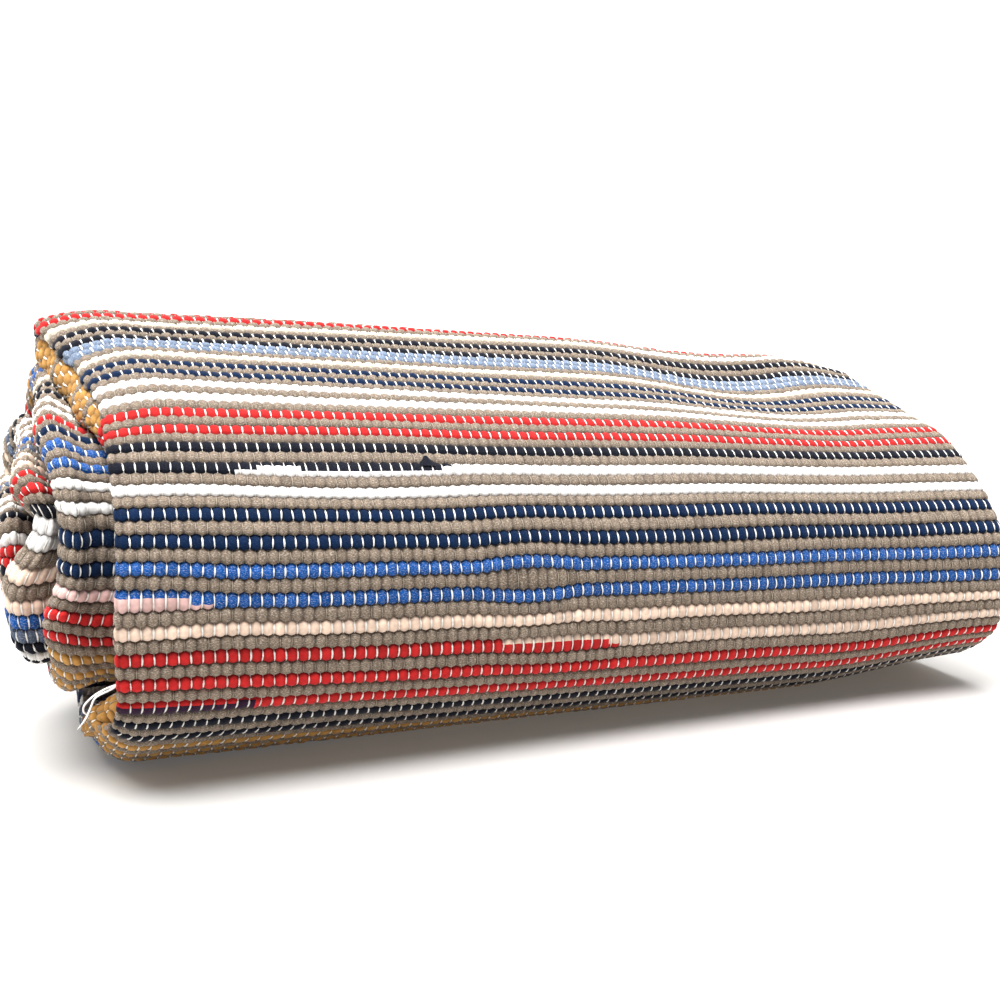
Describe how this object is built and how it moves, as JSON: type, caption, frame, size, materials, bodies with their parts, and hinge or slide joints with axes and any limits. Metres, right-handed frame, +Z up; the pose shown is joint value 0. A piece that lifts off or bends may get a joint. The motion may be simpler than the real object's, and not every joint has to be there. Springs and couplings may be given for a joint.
{
  "type": "folded flat-woven rag rug",
  "caption": "Striped flat-woven rag rug folded back and forth across its width and then over and over into a thick, uneven bundle.",
  "frame": {"origin": "centre of the bounding box's underside, on the surface that the bundle lies on", "axes": "+X along the folded bundle, towards its closed fold; +Y from the front face to the back; +Z up"},
  "size_m": [0.5476, 0.2643, 0.2322],
  "materials": {
    "rag_weave": "thick cotton jersey strips in plain weave over a thin white warp, striped in taupe, red, navy, blue, white, peach and ochre, matt"
  },
  "bodies": {
    "root": {"folded_rug": "rag_weave"}
  },
  "joints": []
}
